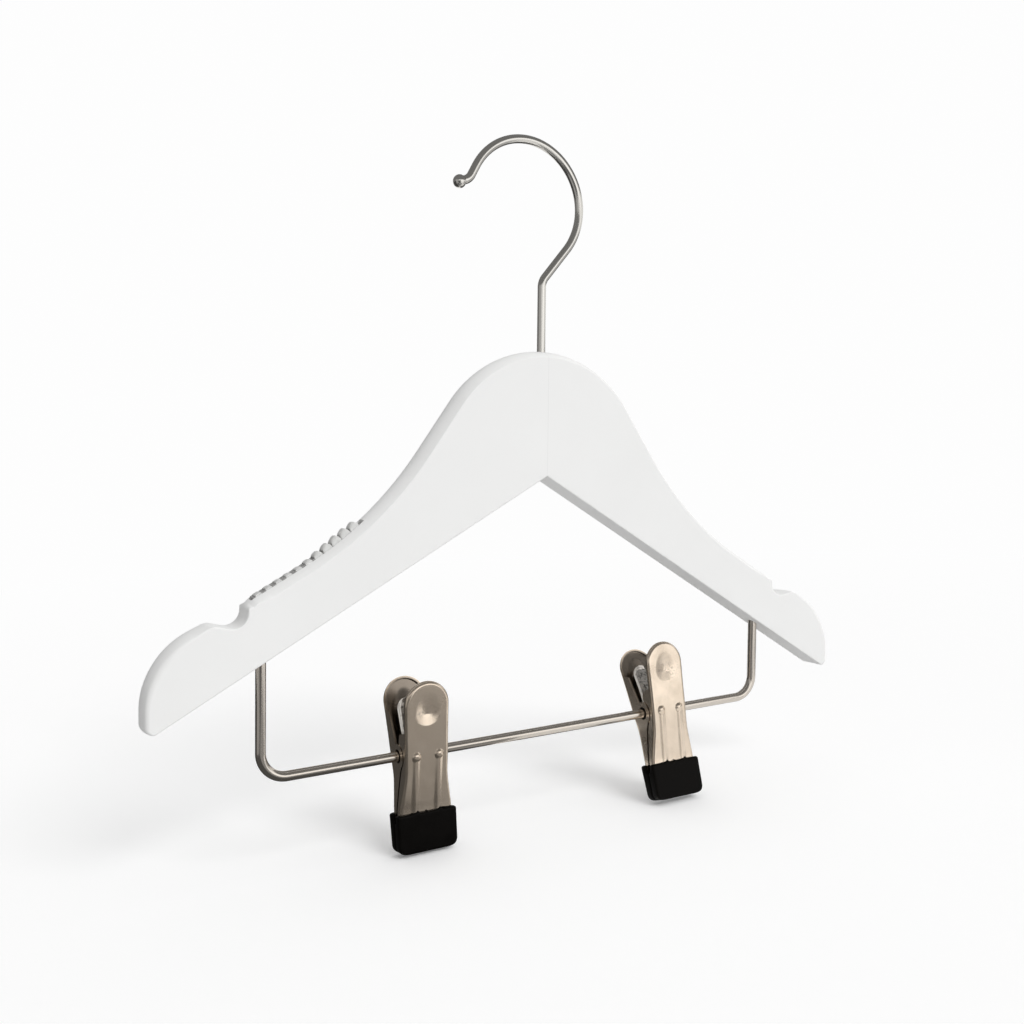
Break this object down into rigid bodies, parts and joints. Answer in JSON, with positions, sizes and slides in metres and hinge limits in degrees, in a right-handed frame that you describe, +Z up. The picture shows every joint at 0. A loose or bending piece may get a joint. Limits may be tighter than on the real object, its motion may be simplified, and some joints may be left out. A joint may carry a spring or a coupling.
{
  "type": "skirt hanger",
  "caption": "Painted wooden clothes hanger with a swivelling wire hook, strap notches with grip strips, and a wire bar below that carries sliding sprung skirt clips.",
  "frame": {"origin": "the point inside the hook where a rail bears, on the axis of the hook's stem", "axes": "+X along the hanger to the right as seen from its front, +Y to the back through its thickness, +Z up along the hook's stem"},
  "size_m": [0.3, 0.034, 0.2682],
  "materials": {
    "painted_wood": "satin white paint",
    "bare_wood": "bare beech",
    "hook_wire": "satin nickel plate",
    "bush_brass": "plain turned brass",
    "clear_rubber": "cloudy soft clear rubber",
    "bar_wire": "satin nickel plate",
    "black_plastic": "matt black",
    "spring_steel": "plated spring steel",
    "jaw_steel": "satin nickel plate",
    "black_rubber": "matt black dipped rubber"
  },
  "bodies": {
    "hook": {"hook": "hook_wire"},
    "hanger_frame": {"arm_left": "painted_wood", "arm_right": "painted_wood", "joint_dowels": "bare_wood", "hook_bush": "bush_brass", "grip_strip_left": "clear_rubber", "grip_strip_right": "clear_rubber", "clip_bar": "bar_wire"},
    "left_clip_carrier": {"left_clip_bush": "black_plastic"},
    "left_clip_rear": {"left_clip_back_jaw": "jaw_steel", "left_clip_back_tip": "black_rubber", "left_clip_spring": "spring_steel"},
    "left_clip_front": {"left_clip_front_jaw": "jaw_steel", "left_clip_front_tip": "black_rubber"},
    "right_clip_carrier": {"right_clip_bush": "black_plastic"},
    "right_clip_rear": {"right_clip_back_jaw": "jaw_steel", "right_clip_back_tip": "black_rubber", "right_clip_spring": "spring_steel"},
    "right_clip_front": {"right_clip_front_jaw": "jaw_steel", "right_clip_front_tip": "black_rubber"}
  },
  "joints": [
    {"name": "hook_swivel", "type": "hinge", "parent": "hook", "child": "hanger_frame", "pos_m": [0, 0, 0], "axis": [0, 0, 1], "continuous": true},
    {"name": "left_clip_slide", "type": "slide", "parent": "hanger_frame", "child": "left_clip_carrier", "axis": [0.9991, 0, 0.0431], "range_m": [-0.0402, 0.0373]},
    {"name": "left_clip_swing", "type": "hinge", "parent": "left_clip_carrier", "child": "left_clip_rear", "pos_m": [-0.0503, 0, -0.22751], "axis": [0.9991, 0, 0.0431], "continuous": true},
    {"name": "left_clip_open", "type": "hinge", "parent": "left_clip_rear", "child": "left_clip_front", "pos_m": [-0.0503, 0, -0.22751], "axis": [-0.9991, 0, -0.0431], "range_deg": [0, 36], "stiffness_Nm_per_rad": 0.3, "springref_deg": -17.19, "deforming": ["left_clip_spring"]},
    {"name": "right_clip_slide", "type": "slide", "parent": "hanger_frame", "child": "right_clip_carrier", "axis": [0.9991, 0, 0.0431], "range_m": [-0.047, 0.0313]},
    {"name": "right_clip_swing", "type": "hinge", "parent": "right_clip_carrier", "child": "right_clip_rear", "pos_m": [0.06, 0, -0.22276], "axis": [0.9991, 0, 0.0431], "continuous": true},
    {"name": "right_clip_open", "type": "hinge", "parent": "right_clip_rear", "child": "right_clip_front", "pos_m": [0.06, 0, -0.22276], "axis": [-0.9991, 0, -0.0431], "range_deg": [0, 36], "stiffness_Nm_per_rad": 0.3, "springref_deg": -17.19, "deforming": ["right_clip_spring"]}
  ]
}
